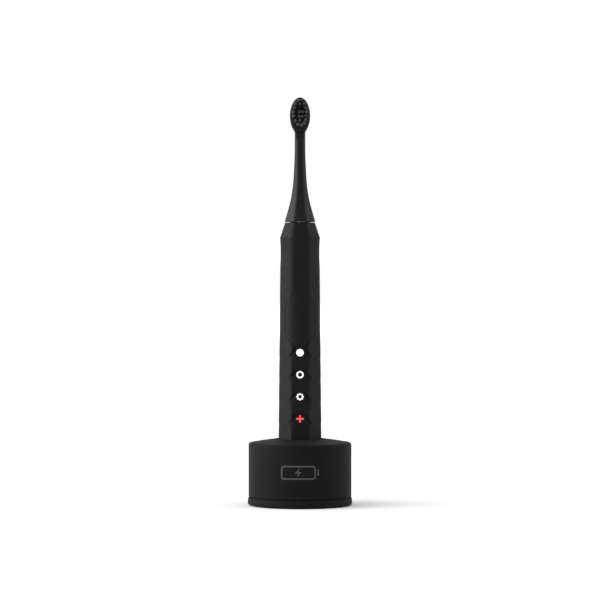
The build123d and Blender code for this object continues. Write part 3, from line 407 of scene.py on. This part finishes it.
def circuit(name, colour):
    """Solder mask over copper: faint raised tracks and a glossy skin."""
    finish = Finish(name)
    finish.set(Coat_Weight=0.3, Coat_Roughness=0.2)
    tracks = finish.tree.nodes.new("ShaderNodeTexBrick")
    tracks.inputs["Scale"].default_value = 260.0
    tracks.inputs["Mortar Size"].default_value = 0.06
    tracks.inputs["Color1"].default_value = (1.0, 1.0, 1.0, 1.0)
    tracks.inputs["Color2"].default_value = (0.8, 0.8, 0.8, 1.0)
    tracks.inputs["Mortar"].default_value = (0.0, 0.0, 0.0, 1.0)
    finish.link(finish.place.outputs["Object"], tracks.inputs["Vector"])
    colours = [(0.0, shade(colour, 0.6)), (0.9, colour), (1.0, shade(colour, 1.3))]
    finish.link(finish.ramp(tracks.outputs["Color"], colours), finish.shader.inputs["Base Color"])
    finish.link(finish.spread(finish.noise(0.003), 0.28, 0.4), finish.shader.inputs["Roughness"])
    finish.bump(tracks.outputs["Fac"], 0.3, 0.00004)
    return finish


def window(name, colour, glow):
    """Milky translucent plastic, lit from behind."""
    finish = Finish(name)
    finish.set(Coat_Weight=0.15, Coat_Roughness=0.3, Emission_Strength=glow)
    milk = finish.noise(0.0012, detail=2.0)
    colours = [(0.2, shade(colour, 0.95)), (0.8, colour)]
    mixed = finish.ramp(milk, colours)
    finish.link(mixed, finish.shader.inputs["Base Color"])
    finish.link(mixed, finish.shader.inputs["Emission Color"])
    finish.link(finish.spread(finish.noise(0.0008), 0.35, 0.5), finish.shader.inputs["Roughness"])
    return finish


def nylon(name, settings, low, high):
    """Nylon filaments with pale tips of their own colour, darkened towards the root by painted shade deep in
    the tufts.
    """
    finish = Finish(name)
    finish.set(Specular_IOR_Level=0.5)
    axes = finish.tree.nodes.new("ShaderNodeSeparateXYZ")
    finish.link(finish.place.outputs["Object"], axes.inputs["Vector"])
    along = finish.tree.nodes.new("ShaderNodeMapRange")
    along.inputs["From Min"].default_value = high
    along.inputs["From Max"].default_value = low
    finish.link(axes.outputs["Y"], along.inputs["Value"])
    tip, root = settings.tip_colour, settings.root_shade_colour
    middle = tuple(r + (t - r) * 0.18 for r, t in zip(root, tip))
    # Painted shade: the colour falls from the pale tip down to the dark root, standing in for the shade
    # among the filaments
    colours = [(0.0, root), (0.6, middle), (0.93, shade(tip, 0.7)), (1.0, tip)]
    finish.link(finish.ramp(along.outputs["Result"], colours), finish.shader.inputs["Base Color"])
    finish.link(finish.spread(finish.noise(0.0006), 0.25, 0.42), finish.shader.inputs["Roughness"])
    finish.bump(finish.noise(0.0002, stretch=(1.0, 0.1, 1.0)), 0.1, 0.00003)
    return finish


def paint(finish, *names):
    """Gives CAD nodes a finish."""
    for name in names:
        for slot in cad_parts[name].material_slots:
            slot.material = finish.material


# ---- modelling helpers -----------------------------------------------------------------------


def start_fresh():
    """Leaves edit mode and selects nothing."""
    if bpy.context.object and bpy.context.object.mode != "OBJECT":
        bpy.ops.object.mode_set(mode="OBJECT")
    bpy.ops.object.select_all(action="DESELECT")


def in_edit(piece):
    """Opens a piece in edit mode with nothing selected, and returns its bmesh."""
    start_fresh()
    piece.select_set(True)
    bpy.context.view_layer.objects.active = piece
    bpy.ops.object.mode_set(mode="EDIT")
    bpy.ops.mesh.select_all(action="DESELECT")
    return bmesh.from_edit_mesh(piece.data)


def pick_faces(piece, wanted):
    """Selects the faces that a test wants, in edit mode."""
    mesh = bmesh.from_edit_mesh(piece.data)
    bpy.ops.mesh.select_mode(type="FACE")
    for face in mesh.faces:
        face.select = wanted(face)
    mesh.select_flush_mode()
    bmesh.update_edit_mesh(piece.data)


def settle(piece, name, finish, body):
    """Names a finished piece, puts its place into its mesh and hands it to its body."""
    start_fresh()
    piece.select_set(True)
    bpy.context.view_layer.objects.active = piece
    bpy.ops.object.transform_apply(location=True, rotation=True, scale=True)
    piece.name = name
    piece.data.name = name
    piece.data.materials.clear()
    piece.data.materials.append(finish.material)
    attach(piece, body)
    return piece


def joined(pieces):
    """Joins pieces into the first of them."""
    start_fresh()
    for piece in pieces:
        piece.select_set(True)
    bpy.context.view_layer.objects.active = pieces[0]
    bpy.ops.object.join()
    return pieces[0]


def copy_of(piece, matrix):
    """A copy with its own mesh, moved by a matrix."""
    copy = piece.copy()
    copy.data = piece.data.copy()
    copy.data.transform(matrix)
    bpy.context.scene.collection.objects.link(copy)
    return copy


def tuft_places(node):
    """Middle of each tuft of a CAD node, as (x, z), found from its tips."""
    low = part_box(node)[0]
    places = []
    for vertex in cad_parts[node].data.vertices:
        if vertex.co.y > low.y + TIP_BAND:
            continue
        for found in places:
            if (found[0] - Vector((vertex.co.x, vertex.co.z))).length < TUFT_REACH:
                found[1].append(vertex.co.copy())
                break
        else:
            places.append((Vector((vertex.co.x, vertex.co.z)), [vertex.co.copy()]))
    middles = []
    for _, points in places:
        xs = [p.x for p in points]
        zs = [p.z for p in points]
        middles.append(((min(xs) + max(xs)) / 2, (min(zs) + max(zs)) / 2))
    return middles


# ---- operators -------------------------------------------------------------------------------


class TOOTHBRUSH_OT_mouldings(bpy.types.Operator):
    """Finish the black mouldings, the rubber and the plastic inside"""

    bl_idname = "toothbrush.mouldings"
    bl_label = "Finish mouldings"

    def execute(self, context):
        s = context.scene.brush_mouldings
        handle = soft_touch("soft_touch_black", s.handle_colour, 0.5, s.grain, s.grain_depth)
        paint(handle, "handle_housing", "power_button")
        base = soft_touch("charger_black", s.base_colour, 0.55, s.grain * 1.2, s.grain_depth, specular=0.06)
        paint(base, "base_housing", "bottom_cover")
        fine = s.grain_depth * 0.6
        head = moulded("head_black", s.head_colour, 0.4, specular=0.2, grain=s.grain, depth=fine)
        paint(head, "head_body")
        paint(moulded("cap_black", shade(s.handle_colour, 1.4), 0.5), "end_cap")
        paint(rubber("foot_rubber", (0.03, 0.03, 0.032)), "foot_pad")
        paint(rubber("seal_rubber", (0.02, 0.02, 0.022), 0.6), "shaft_seal", "end_cap_seal")
        paint(rubber("gasket_silicone", (0.07, 0.07, 0.075), 0.6), "button_gasket", "motor_mount")
        paint(moulded("natural_nylon", (0.6, 0.58, 0.52), 0.5), "coil_bobbin", "receiver_bobbin")
        paint(moulded("pale_frame", (0.6, 0.6, 0.58), 0.52), "cell_cradle", "nose_ring")
        paint(moulded("acetal", (0.42, 0.42, 0.41), 0.38, specular=0.5), "coupling_sleeve", "switch_plunger")
        paint(moulded("mask_black", (0.015, 0.015, 0.015), 0.7), "lamp_mask", "switch_body")
        chip = moulded("chip_black", (0.025, 0.025, 0.028), 0.55, specular=0.4)
        paint(chip, "board_chips", "board_components")
        paint(moulded("cell_wrap", (0.03, 0.2, 0.14), 0.3, specular=0.5, depth=0.05), "battery_cell")
        paint(circuit("green_board", (0.01, 0.11, 0.04)), "charger_board", "main_board")
        return {"FINISHED"}


class TOOTHBRUSH_OT_metals(bpy.types.Operator):
    """Finish the shaft, screws, shells, windings and magnets"""

    bl_idname = "toothbrush.metals"
    bl_label = "Finish metals"

    def execute(self, context):
        turned = (1.0, 1.0, 14.0)
        drawn = (14.0, 14.0, 1.0)
        paint(metal("ground_steel", (0.62, 0.62, 0.63), 0.24, turned), "drive_shaft")
        paint(metal("drawn_steel", (0.5, 0.5, 0.51), 0.34, drawn), "motor_can")
        zinc = metal("zinc_plate", (0.56, 0.57, 0.58), 0.36, turned)
        paint(zinc, "cover_screws", "board_screws", "main_board_screws")
        paint(metal("inlet_steel", (0.58, 0.58, 0.59), 0.3, (1.0, 14.0, 1.0)), "charging_inlet")
        paint(metal("spring_steel", (0.55, 0.55, 0.56), 0.28, turned), "retaining_clip")
        paint(metal("nickel_strip", (0.6, 0.57, 0.52), 0.32, (14.0, 1.0, 1.0)), "battery_tabs")
        paint(metal("nickel_magnet", (0.42, 0.42, 0.43), 0.3, turned), "rotor_magnet")
        bronze = metal("sintered_bronze", (0.45, 0.27, 0.12), 0.48, (1.0, 1.0, 1.0), tarnish=0.3)
        paint(bronze, "rear_bearing", "front_bearing")
        ferrite = moulded("ferrite_grey", (0.035, 0.035, 0.038), 0.6, specular=0.4, grain=0.0006, depth=0.35)
        paint(ferrite, "ferrite_core")
        paint(winding("copper_winding", (0.72, 0.3, 0.12)), "charging_coil", "receiver_coil", "motor_coil")
        return {"FINISHED"}


class TOOTHBRUSH_OT_indicators(bpy.types.Operator):
    """Light the four indicators and their lamps"""

    bl_idname = "toothbrush.indicators"
    bl_label = "Light indicators"

    def execute(self, context):
        s = context.scene.brush_indicators
        paint(window("white_window", s.white, s.white_glow), "indicator_dot")
        paint(window("dim_window", s.white, s.ring_glow), "indicator_ring", "indicator_gear")
        paint(window("red_window", s.red, s.red_glow), "indicator_plus")
        paint(window("lamp_lens", (0.85, 0.82, 0.66), 0.2), "indicator_lamps")
        return {"FINISHED"}


class TOOTHBRUSH_OT_bristles(bpy.types.Operator):
    """Model the tufts of the brush head, filament by filament"""

    bl_idname = "toothbrush.bristles"
    bl_label = "Model bristles"

    def execute(self, context):
        settings = context.scene.brush_bristles
        for node, name, slot in (
            ("outer_tufts", "outer_bristles", "outer_nylon"),
            ("inner_tufts", "inner_bristles", "inner_nylon"),
        ):
            places = tuft_places(node)
            if len(places) < 3:
                raise RuntimeError(f"the tufts of {node} were not found")
            low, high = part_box(node)
            rng = random.Random(len(places))
            tufts = [self.tuft(settings, low.y, high.y, rng, x, z) for x, z in places]
            finish = nylon(f"{name}_nylon", settings, low.y, high.y)
            bristles = settle(joined(tufts), name, finish, "brush_head")
            bpy.ops.object.shade_smooth_by_angle(angle=math.radians(50))
            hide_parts(node)
        return {"FINISHED"}

    def filament(self, radius, length):
        """One filament, upright: a slim six-sided rod with a rounded tip."""
        start_fresh()
        bpy.ops.mesh.primitive_cylinder_add(
            vertices=6, radius=radius, depth=length, location=(0, 0, length / 2), end_fill_type="NGON"
        )
        rod = bpy.context.object
        bpy.ops.object.transform_apply(location=True)
        in_edit(rod)
        pick_faces(rod, lambda f: f.normal.z > 0.9)
        bpy.ops.mesh.extrude_region_move(TRANSFORM_OT_translate={"value": (0, 0, radius * 0.7)})
        bpy.ops.transform.resize(value=(0.72, 0.72, 1.0))
        bpy.ops.mesh.extrude_region_move(TRANSFORM_OT_translate={"value": (0, 0, radius * 0.35)})
        bpy.ops.transform.resize(value=(0.45, 0.45, 1.0))
        bpy.ops.object.mode_set(mode="OBJECT")
        return rod

    def tuft(self, settings, tip_y, root_y, rng, x, z):
        """A round bundle of filaments that point towards -Y, at (x, z)."""
        length = root_y - tip_y
        radius = settings.filament_radius
        spacing = radius * 2.45  # between rings of filaments
        swirl = 0.4  # turn of each ring past the one inside it
        rod = self.filament(radius, length - radius * 1.05)
        lay_down = Matrix.Rotation(math.radians(90), 4, "X")
        rods = []
        for ring in range(settings.rings + 1):
            for step in range(max(1, 6 * ring)):
                turn = 2 * math.pi * step / max(1, 6 * ring) + swirl * ring
                reach = ring * spacing
                foot = Vector((reach * math.cos(turn), reach * math.sin(turn), 0))
                lean = settings.splay * ring * radius * 2.2 / length
                jitter = rng.uniform(-0.006, 0.006)
                trim = 1.0 - rng.uniform(0.0, settings.ragged) / length
                slant = (math.cos(turn) * lean * 3 + jitter, math.sin(turn) * lean * 3 - jitter)
                tilt = Matrix.Shear("XY", 4, slant)
                place = Matrix.Translation(foot) @ tilt @ Matrix.Diagonal((1, 1, trim, 1))
                rods.append(copy_of(rod, lay_down @ place))
        bpy.data.objects.remove(rod)
        bundle = joined(rods)
        bundle.data.transform(Matrix.Translation((x, root_y, z)))
        return bundle


class TOOTHBRUSH_OT_mark(bpy.types.Operator):
    """Model the plain battery sign on the front of the charger"""

    bl_idname = "toothbrush.mark"
    bl_label = "Model battery sign"

    def execute(self, context):
        s = context.scene.brush_mark
        shell = self.battery(s)
        bolt = self.bolt(s)
        sign = joined([shell, bolt])
        in_edit(sign)
        strips = 16  # so that the sign can curve round the housing
        for step in range(1, strips):
            x = s.width * (step / strips - 0.5)
            bpy.ops.mesh.select_all(action="SELECT")
            bpy.ops.mesh.bisect(plane_co=(x, 0, 0), plane_no=(1, 0, 0))
        bpy.ops.object.mode_set(mode="OBJECT")
        thick = sign.modifiers.new("relief", "SOLIDIFY")
        thick.thickness = s.relief * 2
        thick.offset = 0.0
        bpy.ops.object.modifier_apply(modifier="relief")
        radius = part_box("base_housing")[1].x
        for vertex in sign.data.vertices:
            turn = vertex.co.x / radius
            reach = radius - vertex.co.y
            level = vertex.co.z
            vertex.co = Vector((reach * math.sin(turn), -reach * math.cos(turn), level))
        in_edit(sign)
        bpy.ops.mesh.select_all(action="SELECT")
        bpy.ops.mesh.normals_make_consistent(inside=False)
        bpy.ops.object.mode_set(mode="OBJECT")
        finish = moulded("sign_grey", s.colour, 0.3, specular=0.5, depth=0.02, marks=0.05)
        settle(sign, "battery_sign", finish, "charger_base")
        return {"FINISHED"}

    def battery(self, s):
        """The battery's outline: a rounded frame with a stub at one end."""
        start_fresh()
        bpy.ops.mesh.primitive_plane_add(size=1, location=(-s.stroke, 0, s.level), rotation=UPRIGHT)
        shell = bpy.context.object
        shell.scale = (s.width - 2 * s.stroke, s.height, 1)
        bpy.ops.object.transform_apply(location=True, rotation=True, scale=True)
        in_edit(shell)
        bpy.ops.mesh.select_all(action="SELECT")
        bpy.ops.mesh.bevel(offset=s.height * 0.22, segments=5, affect="VERTICES")
        bpy.ops.mesh.select_all(action="SELECT")
        bpy.ops.mesh.inset(thickness=s.stroke)
        bpy.ops.mesh.delete(type="FACE")
        bpy.ops.object.mode_set(mode="OBJECT")
        bpy.ops.object.select_all(action="DESELECT")
        end = s.width / 2 - s.stroke * 0.5
        bpy.ops.mesh.primitive_plane_add(size=1, location=(end, 0, s.level), rotation=UPRIGHT)
        stub = bpy.context.object
        stub.scale = (s.stroke, s.height * 0.42, 1)
        bpy.ops.object.transform_apply(location=True, rotation=True, scale=True)
        return joined([shell, stub])

    def bolt(self, s):
        """The bolt: a six-cornered face whose corners are moved to its points and notches."""
        start_fresh()
        bpy.ops.mesh.primitive_circle_add(
            vertices=6, radius=1.0, fill_type="NGON", location=(0, 0, 0), rotation=UPRIGHT
        )
        bolt = bpy.context.object
        bpy.ops.object.transform_apply(rotation=True)
        h = s.height * 0.34
        corners = [(0.3, 1.0), (-0.8, -0.18), (-0.05, -0.18), (-0.3, -1.0), (0.8, 0.18), (0.05, 0.18)]
        for index, (x, z) in enumerate(corners):
            mesh = in_edit(bolt)
            bpy.ops.mesh.select_mode(type="VERT")
            mesh.verts.ensure_lookup_table()
            corner = mesh.verts[index]
            corner.select = True
            move = (x * h - s.stroke - corner.co.x, -corner.co.y, s.level + z * h - corner.co.z)
            bpy.ops.transform.translate(value=move)
            bpy.ops.object.mode_set(mode="OBJECT")
        return bolt


class TOOTHBRUSH_OT_inlet(bpy.types.Operator):
    """Model the contact pads on the inlet's tongue"""

    bl_idname = "toothbrush.inlet"
    bl_label = "Model inlet contacts"

    def execute(self, context):
        low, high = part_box("charging_inlet")
        middle = (low + high) / 2
        count, pitch = 8, 0.0007
        pad_size = (0.00032, 0.0034, 0.00006)
        setback = 0.0032  # of a pad's middle, from the mouth of the inlet
        tongue_half = 0.00036
        pads = []
        for side in (-1, 1):
            for index in range(count):
                x = (index - (count - 1) / 2) * pitch
                place = (x, high.y - setback, middle.z + side * tongue_half)
                start_fresh()
                bpy.ops.mesh.primitive_cube_add(size=1, location=place)
                pad = bpy.context.object
                pad.scale = pad_size
                bpy.ops.object.transform_apply(location=True, scale=True)
                in_edit(pad)
                bpy.ops.mesh.select_all(action="SELECT")
                bpy.ops.mesh.bevel(offset=0.00002, segments=2, affect="EDGES")
                bpy.ops.object.mode_set(mode="OBJECT")
                pads.append(pad)
        finish = metal("gold_flash", (0.83, 0.56, 0.2), 0.28, (1.0, 14.0, 1.0))
        settle(joined(pads), "inlet_contacts", finish, "charger_base")
        return {"FINISHED"}


class TOOTHBRUSH_OT_stage(bpy.types.Operator):
    """Set the pale floor, the soft studio light and the camera"""

    bl_idname = "toothbrush.stage"
    bl_label = "Set stage"

    def execute(self, context):
        s = context.scene.brush_studio
        self.floor(s)
        self.light(s)
        start_fresh()
        bpy.ops.object.camera_add(location=(0, -s.distance, s.eye_level), rotation=UPRIGHT)
        camera = bpy.context.object
        camera.data.lens = s.lens
        camera.data.sensor_width = 36.0
        camera.data.clip_end = 200.0
        context.scene.camera = camera
        context.scene.view_settings.view_transform = "Standard"
        return {"FINISHED"}

    def floor(self, s):
        start_fresh()
        bpy.ops.mesh.primitive_plane_add(size=120, location=(0, 0, 0))
        floor = bpy.context.object
        floor.name = "floor"
        in_edit(floor)
        bpy.ops.mesh.select_all(action="SELECT")
        bpy.ops.mesh.subdivide(number_cuts=8)
        bpy.ops.object.mode_set(mode="OBJECT")
        finish = Finish("pale_floor")
        finish.set(Specular_IOR_Level=0.1, Roughness=0.8)
        axes = finish.tree.nodes.new("ShaderNodeSeparateXYZ")
        finish.link(finish.place.outputs["Object"], axes.inputs["Vector"])
        depth = finish.tree.nodes.new("ShaderNodeMapRange")
        depth.inputs["From Min"].default_value = -1.0
        depth.inputs["From Max"].default_value = 9.0
        finish.link(axes.outputs["Y"], depth.inputs["Value"])
        # Painted shade and light: the floor is a little darker under the brush, darkest in a band some 0.8 m
        # behind it and lighter far off, standing in for the fall of the light
        near, far = shade(s.floor_colour, 0.84), shade(s.floor_colour, 1.06)
        colours = [(0.0, s.floor_colour), (0.1, shade(s.floor_colour, 0.92)), (0.18, near), (0.6, far)]
        finish.link(finish.ramp(depth.outputs["Result"], colours), finish.shader.inputs["Base Color"])
        floor.data.materials.append(finish.material)

    def light(self, s):
        """A white surround: bright overhead, a broad key from the left, a weaker fill from the right."""
        world = bpy.data.worlds.new("studio")
        bpy.context.scene.world = world
        world.use_nodes = True
        tree = world.node_tree
        tree.nodes.clear()
        out = tree.nodes.new("ShaderNodeOutputWorld")
        place = tree.nodes.new("ShaderNodeTexCoord")
        total = None
        lobes = [  # direction, brightness, sharpness
            ((0, 0, 1), s.sky, 1.0),
            ((-0.96, -0.18, 0.25), s.key, 5.0),
            ((0.98, -0.05, 0.25), s.fill, 6.0),
            ((0, 1, 0.2), s.back, 2.0),
        ]
        for direction, strength, sharpness in lobes:
            unit = Vector(direction).normalized()
            dot = tree.nodes.new("ShaderNodeVectorMath")
            dot.operation = "DOT_PRODUCT"
            dot.inputs[1].default_value = unit
            tree.links.new(place.outputs["Generated"], dot.inputs[0])
            clip = tree.nodes.new("ShaderNodeMath")
            clip.operation = "MAXIMUM"
            clip.inputs[1].default_value = 0.0
            tree.links.new(dot.outputs["Value"], clip.inputs[0])
            power = tree.nodes.new("ShaderNodeMath")
            power.operation = "POWER"
            power.inputs[1].default_value = sharpness
            tree.links.new(clip.outputs[0], power.inputs[0])
            gain = tree.nodes.new("ShaderNodeMath")
            gain.operation = "MULTIPLY_ADD"
            gain.inputs[1].default_value = strength
            gain.inputs[2].default_value = s.ambient
            tree.links.new(power.outputs[0], gain.inputs[0])
            if total is not None:
                tree.links.new(total, gain.inputs[2])
            total = gain.outputs[0]
        lit = tree.nodes.new("ShaderNodeBackground")
        tree.links.new(total, lit.inputs["Strength"])
        seen = tree.nodes.new("ShaderNodeBackground")
        seen.inputs["Color"].default_value = (1.0, 1.0, 1.0, 1.0)
        seen.inputs["Strength"].default_value = 1.0
        path = tree.nodes.new("ShaderNodeLightPath")
        pick = tree.nodes.new("ShaderNodeMixShader")
        tree.links.new(path.outputs["Is Camera Ray"], pick.inputs["Fac"])
        tree.links.new(lit.outputs[0], pick.inputs[1])
        tree.links.new(seen.outputs[0], pick.inputs[2])
        tree.links.new(pick.outputs[0], out.inputs["Surface"])


# ---- panel and registration --------------------------------------------------------------------


OPERATORS = (
    TOOTHBRUSH_OT_mouldings,
    TOOTHBRUSH_OT_metals,
    TOOTHBRUSH_OT_indicators,
    TOOTHBRUSH_OT_bristles,
    TOOTHBRUSH_OT_mark,
    TOOTHBRUSH_OT_inlet,
    TOOTHBRUSH_OT_stage,
)

SETTINGS = {
    "brush_mouldings": MouldingSettings,
    "brush_bristles": BristleSettings,
    "brush_indicators": IndicatorSettings,
    "brush_mark": MarkSettings,
    "brush_studio": StudioSettings,
}


class VIEW3D_PT_toothbrush(bpy.types.Panel):
    """Sizes, colours and steps of the toothbrush and its charger"""

    bl_label = "Toothbrush"
    bl_space_type = "VIEW_3D"
    bl_region_type = "UI"
    bl_category = "Toothbrush"

    def draw(self, context):
        for attribute, group in SETTINGS.items():
            box = self.layout.box()
            settings = getattr(context.scene, attribute)
            for name in group.__annotations__:
                box.prop(settings, name)
        for operator in OPERATORS:
            self.layout.operator(operator.bl_idname)


def register():
    for group in SETTINGS.values():
        bpy.utils.register_class(group)
    for attribute, group in SETTINGS.items():
        setattr(bpy.types.Scene, attribute, PointerProperty(type=group))
    for operator in OPERATORS:
        bpy.utils.register_class(operator)
    bpy.utils.register_class(VIEW3D_PT_toothbrush)


def unregister():
    bpy.utils.unregister_class(VIEW3D_PT_toothbrush)
    for operator in reversed(OPERATORS):
        bpy.utils.unregister_class(operator)
    for attribute, group in reversed(SETTINGS.items()):
        delattr(bpy.types.Scene, attribute)
        bpy.utils.unregister_class(group)


def main():
    register()
    bpy.ops.toothbrush.mouldings()
    bpy.ops.toothbrush.metals()
    bpy.ops.toothbrush.indicators()
    bpy.ops.toothbrush.bristles()
    bpy.ops.toothbrush.mark()
    bpy.ops.toothbrush.inlet()
    bpy.ops.toothbrush.stage()
    bpy.context.view_layer.update()


if __name__ == "__main__":
    main()
